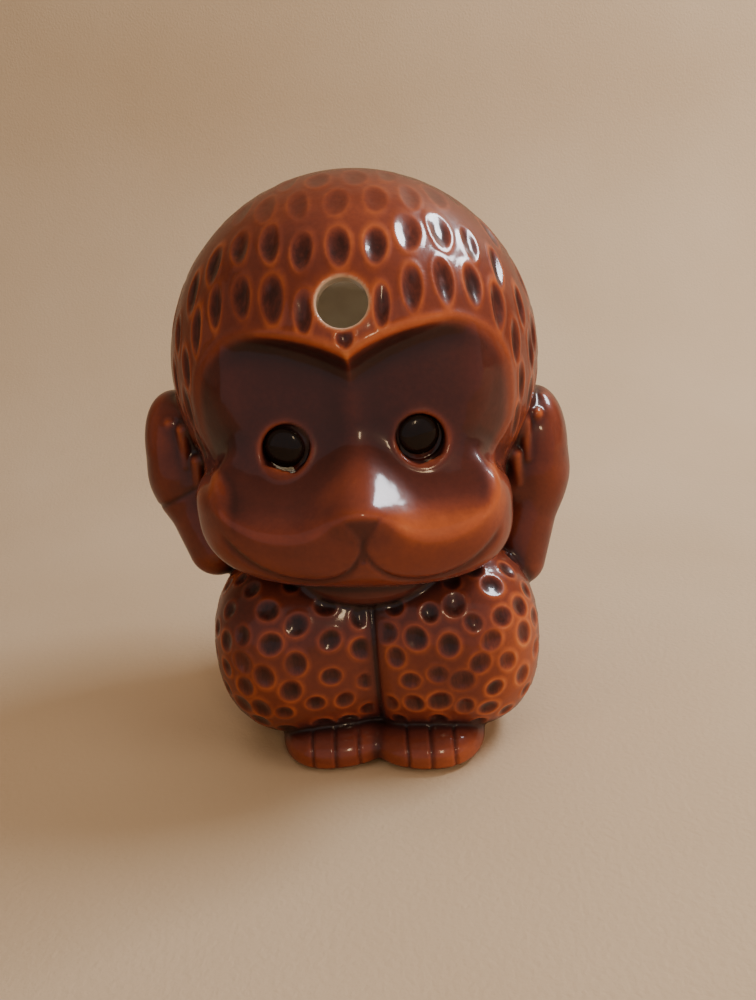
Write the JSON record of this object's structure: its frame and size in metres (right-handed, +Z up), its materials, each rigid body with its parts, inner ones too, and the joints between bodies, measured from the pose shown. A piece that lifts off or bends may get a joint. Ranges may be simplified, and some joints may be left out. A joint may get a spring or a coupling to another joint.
{
  "type": "figural mug",
  "caption": "Glazed ceramic mug in the form of a sitting monkey with its hands over its ears, a straw hole in its forehead and an opening at the top and back of its head.",
  "frame": {"origin": "middle of the flat base, on the plane it rests on", "axes": "+Z up, the face looks towards -Y, the monkey's own left is +X"},
  "size_m": [0.112, 0.0989, 0.14],
  "materials": {
    "brown_glaze": "high gloss translucent brown glaze, amber where it thins over edges and dark where it pools",
    "black_glaze": "high gloss black glaze"
  },
  "bodies": {
    "root": {"head_shell": "brown_glaze", "body_shell": "brown_glaze", "left_arm": "brown_glaze", "right_arm": "brown_glaze", "left_foot": "brown_glaze", "right_foot": "brown_glaze", "left_eye": "black_glaze", "right_eye": "black_glaze"}
  },
  "joints": []
}
